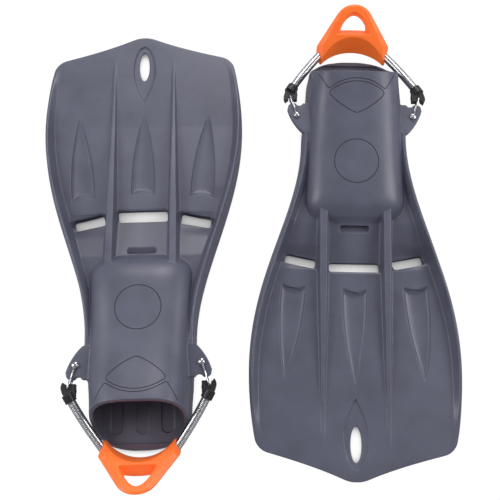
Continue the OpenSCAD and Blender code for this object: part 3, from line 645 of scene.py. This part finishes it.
def new_material(name):
    """Node material without nodes."""
    material = bpy.data.materials.new(name)
    material.use_nodes = True
    material.node_tree.nodes.clear()
    return material


def per_metre(size_mm):
    """Texture scale at which a pattern repeats about every size_mm millimetres."""
    return 1000 / size_mm


def finish_of(name, colour, deep, roughness, mottle_mm, grit_mm, grit_depth_mm, **principled):
    """Moulded surface: colour that drifts over mottle_mm, gloss that drifts with it, and a fine grit."""
    material = new_material(name)
    tree = material.node_tree
    at = add_node(tree, "ShaderNodeTexCoord").outputs["Object"]
    drift = add_node(tree, "ShaderNodeTexNoise", inputs={
        "Scale": per_metre(mottle_mm), "Detail": 4, "Roughness": 0.6}, links={"Vector": at}).outputs["Fac"]
    grit = add_node(tree, "ShaderNodeTexNoise", inputs={
        "Scale": per_metre(grit_mm), "Detail": 2}, links={"Vector": at}).outputs["Fac"]
    tint = add_node(tree, "ShaderNodeValToRGB", links={"Fac": drift})
    tint.color_ramp.elements[0].color = hex_colour(deep)
    tint.color_ramp.elements[0].position = 0.3
    tint.color_ramp.elements[1].color = hex_colour(colour)
    tint.color_ramp.elements[1].position = 0.7
    gloss = add_node(tree, "ShaderNodeMapRange", inputs={
        "From Min": 0.3, "From Max": 0.7, "To Min": roughness - 0.05, "To Max": roughness + 0.06},
        links={"Value": drift}).outputs["Result"]
    bump = add_node(tree, "ShaderNodeBump", inputs={"Strength": 0.5, "Distance": grit_depth_mm / 1000},
                    links={"Height": grit}).outputs["Normal"]
    shader = add_node(tree, "ShaderNodeBsdfPrincipled", inputs=principled, links={
        "Base Color": tint.outputs["Color"], "Roughness": gloss, "Normal": bump})
    add_node(tree, "ShaderNodeOutputMaterial", links={"Surface": shader.outputs["BSDF"]})
    return material


def moulded_rubber():
    # Natural rubber out of a satin steel mould: grey, slightly cloudy, with a soft broad sheen.
    return finish_of("moulded_rubber", colours().rubber, "555664", roughness=0.39, mottle_mm=38, grit_mm=1.6,
                     grit_depth_mm=0.05, **{"IOR": 1.52, "Specular IOR Level": 0.5})


def painted_groove_shade():
    # The same rubber at the bottom of a moulded line, coloured darker as painted shade in the groove, and
    # rougher.
    return finish_of("painted_groove_shade", colours().groove_shade_colour, "241e25", roughness=0.7, mottle_mm=20,
                     grit_mm=1.6, grit_depth_mm=0.05, IOR=1.52)


def pad_elastomer():
    # Soft orange elastomer, injection moulded: even signal colour and a satin skin. A little light goes
    # into it, and a weak glow of its own is painted light that makes the pad look brighter.
    return finish_of("pad_elastomer", colours().pad, "f9702a", roughness=0.36, mottle_mm=30, grit_mm=1.4,
                     grit_depth_mm=0.03, **{
                         "IOR": 1.46, "Subsurface Weight": 0.35, "Subsurface Scale": 0.008,
                         "Emission Color": hex_colour(colours().pad), "Emission Strength": 0.22})


def clip_nylon():
    # Black glass-filled nylon: dark, faintly grainy, half matt.
    return finish_of("clip_nylon", colours().clip, "1e1b1f", roughness=0.42, mottle_mm=9, grit_mm=0.8,
                     grit_depth_mm=0.03, IOR=1.53)


def polished_steel():
    # Stainless steel wire and rivets, tumbled bright: clear reflections over a faint grit.
    return finish_of("polished_steel", colours().steel, "cfd0d1", roughness=0.16, mottle_mm=6, grit_mm=0.9,
                     grit_depth_mm=0.01, Metallic=1.0)


def spring_steel():
    # Spring-hard stainless wire, bright drawn: sharper reflections than the rivets.
    return finish_of("spring_steel", colours().steel, "d2d3d4", roughness=0.15, mottle_mm=5, grit_mm=0.7,
                     grit_depth_mm=0.008, Metallic=1.0)


def studio_floor():
    # Pale matt studio sheet that the camera sees as white, apart from the shade in the vents and holes.
    material = new_material("studio_sheet")
    tree = material.node_tree
    path = add_node(tree, "ShaderNodeLightPath").outputs
    shade = add_node(tree, "ShaderNodeAmbientOcclusion", {"samples": 24}, {"Distance": 0.04}).outputs["AO"]
    bright = add_node(tree, "ShaderNodeMapRange", {"interpolation_type": "SMOOTHSTEP"}, {
        "From Min": 0.05, "From Max": 0.55, "To Min": 0.1, "To Max": 1.1}, {"Value": shade}).outputs["Result"]
    share = add_node(tree, "ShaderNodeMath", {"operation": "MULTIPLY"}, {1: 0.9}, {0: path["Is Camera Ray"]})
    sheet = add_node(tree, "ShaderNodeBsdfDiffuse", inputs={"Color": hex_colour(colours().floor)})
    white = add_node(tree, "ShaderNodeEmission", links={"Strength": bright})
    mix = add_node(tree, "ShaderNodeMixShader", links={
        "Fac": share.outputs[0], 1: sheet.outputs[0], 2: white.outputs[0]})
    add_node(tree, "ShaderNodeOutputMaterial", links={"Surface": mix.outputs[0]})
    return material


# Strap hardware

HOOK = Vector((75.3, 64.8, 41))
LEG_Z = EAR_T / 2 + 0.3 + 1.3
CLIP_SEAT = HOOK + Vector((-3.8, -14, -0.7))
PAD_LEAN, PAD_BACK, PAD_Z, PAD_SEAT_UP = math.radians(12), 7.2, 17.8, 7.5
PAD_CUP_R, PAD_TIP_X, PAD_HALF_W, PAD_SIDE_V = 45.4, 38.5, 43.3, 4.4
SOCKET_D, SPRING_BOW = 3.5, 4
TURN_STEPS, WIRE_SIDES = 24, 12


def tube_along(points, radius, name, sides=12):
    """Round wire through the points."""
    line = bpy.data.curves.new(name, "CURVE")
    line.dimensions = "3D"
    line.bevel_depth = radius
    line.bevel_resolution = max(1, sides // 4 - 1)
    line.use_fill_caps = True
    spline = line.splines.new("POLY")
    spline.points.add(len(points) - 1)
    for p, q in zip(spline.points, points):
        p.co = (*q, 1)
    holder = bpy.data.objects.new(name, line)
    bpy.context.scene.collection.objects.link(holder)
    mesh = bpy.data.meshes.new_from_object(holder.evaluated_get(bpy.context.evaluated_depsgraph_get()))
    bpy.data.objects.remove(holder)
    bpy.data.curves.remove(line)
    bm = bmesh.new()
    bm.from_mesh(mesh)
    bpy.data.meshes.remove(mesh)
    bmesh.ops.remove_doubles(bm, verts=bm.verts, dist=1e-4)
    bmesh.ops.recalc_face_normals(bm, faces=bm.faces)
    return bm


def turned(profile, centre, steps=40):
    """Profile of (radius, height) spun about the upright through centre."""
    bm = bmesh.new()
    verts = [bm.verts.new((r, 0, z)) for r, z in profile]
    edges = [bm.edges.new(pair) for pair in zip(verts, verts[1:])]
    bmesh.ops.spin(bm, geom=verts + edges, cent=(0, 0, 0), axis=(0, 0, 1), angle=2 * math.pi, steps=steps,
                   use_merge=True)
    bmesh.ops.remove_doubles(bm, verts=bm.verts, dist=1e-4)
    bmesh.ops.recalc_face_normals(bm, faces=bm.faces)
    bmesh.ops.translate(bm, verts=bm.verts, vec=centre)
    return bm


def add_mesh(bm, other):
    mesh = bpy.data.meshes.new("part")
    other.to_mesh(mesh)
    other.free()
    bm.from_mesh(mesh)
    bpy.data.meshes.remove(mesh)


def mirrored(bm, side):
    if side == OUTER:
        bmesh.ops.transform(bm, matrix=Matrix.Diagonal((-1, 1, 1, 1)), verts=bm.verts)
        bmesh.ops.recalc_face_normals(bm, faces=bm.faces)
    return bm


def bail_form(side):
    """Bent wire with a flattened eye at each end."""
    bow, bar = 2, HOOK - PIN
    run = math.hypot(bar.x, bar.y)
    way = Vector((bar.x, bar.y, 0)) / run
    path = []
    for end in (1, -1):
        leg = [PIN + way * 3 + Vector((0, 0, end * LEG_Z))]
        for i in range(13):
            a = math.radians(90 * i / 12)
            leg.append(PIN + way * (run - bow + bow * math.sin(a))
                       + Vector((0, 0, end * (LEG_Z - bow + bow * math.cos(a)))))
        path += leg if end == 1 else reversed(leg)
    bm = tube_along(path, mm(straps().bail_wire) / 2, "bail", 16)
    for end in (1, -1):
        eye = [(1.56, -0.7), (1.8, -1), (3.1, -1), (3.46, -0.65), (3.46, 0.65), (3.1, 1), (1.8, 1),
               (1.56, 0.7), (1.56, -0.7)]
        add_mesh(bm, turned(eye, PIN + Vector((0, 0, end * LEG_Z))))
    return mirrored(bm, side)


def pin_form(side):
    """Rivet with a domed head above and below the bail's eyes."""
    seat = LEG_Z + 1.1
    head = [(2.62, seat), (2.8, seat + 0.18), (2.78, seat + 0.7), (2.45, seat + 1.25), (1.8, seat + 1.65),
            (0.95, seat + 1.85), (0, seat + 1.9)]
    profile = [(r, -z) for r, z in reversed(head)] + [(1.5, -seat), (1.5, seat)] + head
    return mirrored(turned(profile, PIN), side)


def spring_axis():
    """Floors of the clip's and the pad's socket, and the ways that the axis leaves and arrives."""
    tip_v = PAD_CUP_R - math.sqrt(PAD_CUP_R**2 - PAD_TIP_X**2)
    v = (tip_v + PAD_SIDE_V) / 2
    seat = Vector(((PAD_TIP_X + PAD_HALF_W) / 2,
                   -PAD_BACK + v * math.cos(PAD_LEAN) - PAD_SEAT_UP * math.sin(PAD_LEAN),
                   PAD_Z + v * math.sin(PAD_LEAN) + PAD_SEAT_UP * math.cos(PAD_LEAN)))
    chord = seat - CLIP_SEAT
    flat, turn = math.hypot(chord.x, chord.y), math.degrees(math.atan2(chord.y, chord.x))
    leave = Vector((*(flat * heading(turn + SPRING_BOW)), chord.z)).normalized()
    arrive = Vector((*(flat * heading(turn - SPRING_BOW)), chord.z)).normalized()
    return CLIP_SEAT - SOCKET_D * leave, seat + SOCKET_D * arrive, leave, arrive


def spring_form(side):
    """Close-wound helix of flattened wire round the curved axis."""
    s = straps()
    first, last, leave, arrive = spring_axis()
    reach = (last - first).length * 0.34
    wire = mm(s.spring_wire)
    radius = (mm(s.spring_width) - wire) / 2
    steps = s.spring_turns * TURN_STEPS
    axis = bezier(first, first + reach * leave, last - reach * arrive, last, steps)

    def flattened(x):
        return math.copysign(abs(x) ** 0.35, x)

    # Section of the wire, from its outside round by its inside
    section = [Vector((flattened(c), flattened(d))) * wire / 2
               for c, d in (heading(360 / WIRE_SIDES * (i + 0.5)) for i in range(WIRE_SIDES))]

    def where(u, v):
        i = round(v * steps)
        along = (axis[min(i + 1, steps)] - axis[max(i - 1, 0)]).normalized()
        level = along.cross(Vector((0, 0, 1))).normalized()
        a = 2 * math.pi * i / TURN_STEPS
        out = math.cos(a) * level.cross(along) + math.sin(a) * level
        corner = section[round(u * WIRE_SIDES) % WIRE_SIDES]
        return axis[i] + (radius + corner.x) * out + corner.y * along

    return mirrored(skin(WIRE_SIDES, steps, where), side)


PULL_FROM, PULL_RISE = Vector((0, 12.07, 29.57)), math.radians(33.5)
PULL_LENGTH, PULL_R = 69.4, 24


def loop_facets():
    """Tool that slopes off the outer edge of a heel pad, from one tip round the pull loop to the other."""
    slope = Vector((0, -math.cos(PULL_RISE), math.sin(PULL_RISE)))
    up = Vector((0, math.sin(PULL_RISE), math.cos(PULL_RISE)))
    end = Vector((0, PULL_LENGTH - PULL_R))
    corners = [Vector((38.9, 1)), Vector((PAD_HALF_W, 22)), end + PULL_R * heading(32)]
    half = [a.lerp(b, i / 12) for a, b in zip(corners, corners[1:]) for i in range(12)]
    half += [end + PULL_R * heading(a) for a in range(32, 90, 4)]
    path = half + [end + Vector((0, PULL_R))] + [Vector((-p.x, p.y)) for p in reversed(half)]
    last = len(path) - 1

    def where(u, v):
        i = round(v * last)
        way = (path[min(i + 1, last)] - path[max(i - 1, 0)]).normalized()
        outward = way.y * Vector((1, 0, 0)) - way.x * slope
        wide = straight_run([(1, 1.5), (22, 7.5), (45, 5.3), (PULL_LENGTH, 4)], path[i].y)
        fall = 0.75
        low = -fall * (wide + 1.5)
        section = ((-wide - 0.6, 0.6 * fall), (1.5, low), (4, low), (4, 3), (-wide - 0.6, 3))
        out, high = section[round(u * 5) % 5]
        return PULL_FROM + path[i].x * Vector((1, 0, 0)) + path[i].y * slope + out * outward + high * up

    return skin(5, last, where)


def moulded_from_cad(node, fin, grain, passes, cutter=None):
    """Copy of a CAD node in its fin's millimetres, welded, cut, with its edges rounded off."""
    bm = bmesh.new()
    bm.from_mesh(frame["nodes"][node].data)
    bmesh.ops.transform(bm, matrix=place_of(fin).inverted(), verts=bm.verts)
    bmesh.ops.remove_doubles(bm, verts=bm.verts, dist=1e-3)
    bmesh.ops.recalc_face_normals(bm, faces=bm.faces)
    obj = new_object(bm, node)
    if cutter:
        combine(obj, cutter, "DIFFERENCE")
        obj.data.materials.clear()
    round_off(obj, grain, passes)
    return obj


# Operators

class FINS_OT_mouldings(bpy.types.Operator):
    """Make the rubber mouldings: blade, vent bars and foot pocket in one piece"""

    bl_idname = "fins.mouldings"
    bl_label = "Rubber mouldings"

    def execute(self, context):
        first = Moulding().make(painted_groove_shade())
        first.data.set_sharp_from_angle(angle=math.radians(40))
        for fin, obj in zip(FIN_NAMES, (first, copy_of(first))):
            settle(obj, fin, f"{fin}_moulding", "fins", None,
                   (f"{fin}_fin_blade", f"{fin}_fin_vent_bars", f"{fin}_fin_foot_pocket"))
        return {"FINISHED"}


class FINS_OT_heel_pads(bpy.types.Operator):
    """Make the orange heel pads with their pull loops"""

    bl_idname = "fins.heel_pads"
    bl_label = "Heel pads"

    def execute(self, context):
        finish = pad_elastomer()
        for fin in FIN_NAMES:
            node = f"{fin}_fin_heel_pad"
            obj = moulded_from_cad(node, fin, grain=0.5, passes=12, cutter=loop_facets())
            settle(obj, fin, f"{fin}_pad", node, finish, (node,))
        return {"FINISHED"}


class FINS_OT_clips(bpy.types.Operator):
    """Make the black hook clips"""

    bl_idname = "fins.clips"
    bl_label = "Clips"

    def execute(self, context):
        finish = clip_nylon()
        for fin in FIN_NAMES:
            for side, word in SIDE_NAMES.items():
                node = f"{fin}_fin_{word}_clip"
                obj = moulded_from_cad(node, fin, grain=0.28, passes=5)
                settle(obj, fin, f"{fin}_{word}_hook_clip", node, finish, (node,))
        return {"FINISHED"}


class FINS_OT_bails(bpy.types.Operator):
    """Make the wire bails and the rivets that hold them to the ears"""

    bl_idname = "fins.bails"
    bl_label = "Bails and rivets"

    def execute(self, context):
        finish = polished_steel()
        for fin in FIN_NAMES:
            for side, word in SIDE_NAMES.items():
                bail, pin = f"{fin}_fin_{word}_bail", f"{fin}_fin_{word}_pin"
                settle(new_object(bail_form(side), "bail"), fin, f"{fin}_{word}_wire_bail", bail, finish,
                       (bail,))
                settle(new_object(pin_form(side), "pin"), fin, f"{fin}_{word}_rivet", "fins", finish,
                       (pin,))
        for name, node in frame["nodes"].items():
            if name.endswith(("plug", "plugs")):
                node.data.materials.clear()
                node.data.materials.append(finish)
        return {"FINISHED"}


class FINS_OT_springs(bpy.types.Operator):
    """Make the steel springs, which stretch between a clip and the pad"""

    bl_idname = "fins.springs"
    bl_label = "Springs"

    def execute(self, context):
        finish = spring_steel()
        for fin in FIN_NAMES:
            place = place_of(fin)
            for side, word in SIDE_NAMES.items():
                name = f"{fin}_fin_{word}"
                obj = new_object(spring_form(side), "spring")
                settle(obj, fin, f"{fin}_{word}_coil", None, finish, (f"{name}_spring",))
                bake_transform(obj)
        return {"FINISHED"}


class FINS_OT_stage(bpy.types.Operator):
    """Set the floor, the soft studio light and the camera"""

    bl_idname = "fins.stage"
    bl_label = "Stage"

    def execute(self, context):
        scene = context.scene
        scene.view_settings.view_transform = "Standard"
        bm = bmesh.new()
        bmesh.ops.create_grid(bm, x_segments=1, y_segments=1, size=4)
        floor = new_object(bm, "floor")
        floor.data.materials.append(studio_floor())

        world = bpy.data.worlds.new("studio")
        world.use_nodes = True
        tree = world.node_tree
        tree.nodes.clear()
        way = add_node(tree, "ShaderNodeTexCoord").outputs["Generated"]
        height = add_node(tree, "ShaderNodeSeparateXYZ", links={"Vector": way}).outputs["Z"]
        glow = add_node(tree, "ShaderNodeMapRange", {"interpolation_type": "SMOOTHSTEP"}, {
            "From Min": 0.05, "From Max": 0.5, "To Min": 0.65, "To Max": 0.27},
            {"Value": height}).outputs["Result"]
        sky = add_node(tree, "ShaderNodeBackground", inputs={"Color": hex_colour("f3f6ff")},
                       links={"Strength": glow})
        add_node(tree, "ShaderNodeOutputWorld", links={"Surface": sky.outputs["Background"]})
        scene.world = world

        for name, spot, size, power in (
                ("back_box", (0.1, 2.2, 1.9), 1.2, 31),
                ("right_box", (1.15, 0.1, 0.95), 0.8, 9),
                ("left_box", (-1.15, 0, 0.95), 0.8, 9)):
            data = bpy.data.lights.new(name, "AREA")
            data.shape = "DISK"
            data.size = size
            data.energy = power
            lamp = bpy.data.objects.new(name, data)
            lamp.location = spot
            lamp.rotation_euler = (-Vector(spot)).to_track_quat("-Z", "Y").to_euler()
            scene.collection.objects.link(lamp)

        data = bpy.data.cameras.new("camera")
        data.sensor_width = 36
        data.sensor_fit = "HORIZONTAL"
        data.lens = 60.44
        camera = bpy.data.objects.new("camera", data)
        rise, far, aim = math.radians(74.1155), 0.97941, Vector((0.005459, -0.005143, 0))
        camera.location = aim + far * Vector((0, -math.cos(rise), math.sin(rise)))
        camera.rotation_euler = (math.pi / 2 - rise, 0, 0)
        scene.collection.objects.link(camera)
        scene.camera = camera
        return {"FINISHED"}


class FINS_PT_sidebar(bpy.types.Panel):
    """Lists the steps that make the fins"""

    bl_label = "Dive fins"
    bl_idname = "FINS_PT_sidebar"
    bl_space_type = "VIEW_3D"
    bl_region_type = "UI"
    bl_category = "Dive fins"

    def draw(self, context):
        for step in STEPS:
            self.layout.operator(step.bl_idname)
        for group in (context.scene.fin_sizes, context.scene.strap_sizes, context.scene.fin_colours):
            box = self.layout.box()
            for name in group.__annotations__:
                box.prop(group, name)


GROUPS = (FinSizes, StrapSizes, FinColours)
STEPS = (FINS_OT_stage, FINS_OT_mouldings, FINS_OT_heel_pads, FINS_OT_clips, FINS_OT_bails, FINS_OT_springs)


def register():
    for cls in (*GROUPS, *STEPS, FINS_PT_sidebar):
        bpy.utils.register_class(cls)
    bpy.types.Scene.fin_sizes = bpy.props.PointerProperty(type=FinSizes)
    bpy.types.Scene.strap_sizes = bpy.props.PointerProperty(type=StrapSizes)
    bpy.types.Scene.fin_colours = bpy.props.PointerProperty(type=FinColours)


def unregister():
    del bpy.types.Scene.fin_colours
    del bpy.types.Scene.strap_sizes
    del bpy.types.Scene.fin_sizes
    for cls in reversed((*GROUPS, *STEPS, FINS_PT_sidebar)):
        bpy.utils.unregister_class(cls)


def main():
    register()
    bpy.ops.fins.stage()
    bpy.ops.fins.mouldings()
    bpy.ops.fins.heel_pads()
    bpy.ops.fins.clips()
    bpy.ops.fins.bails()
    bpy.ops.fins.springs()


if __name__ == "__main__":
    main()
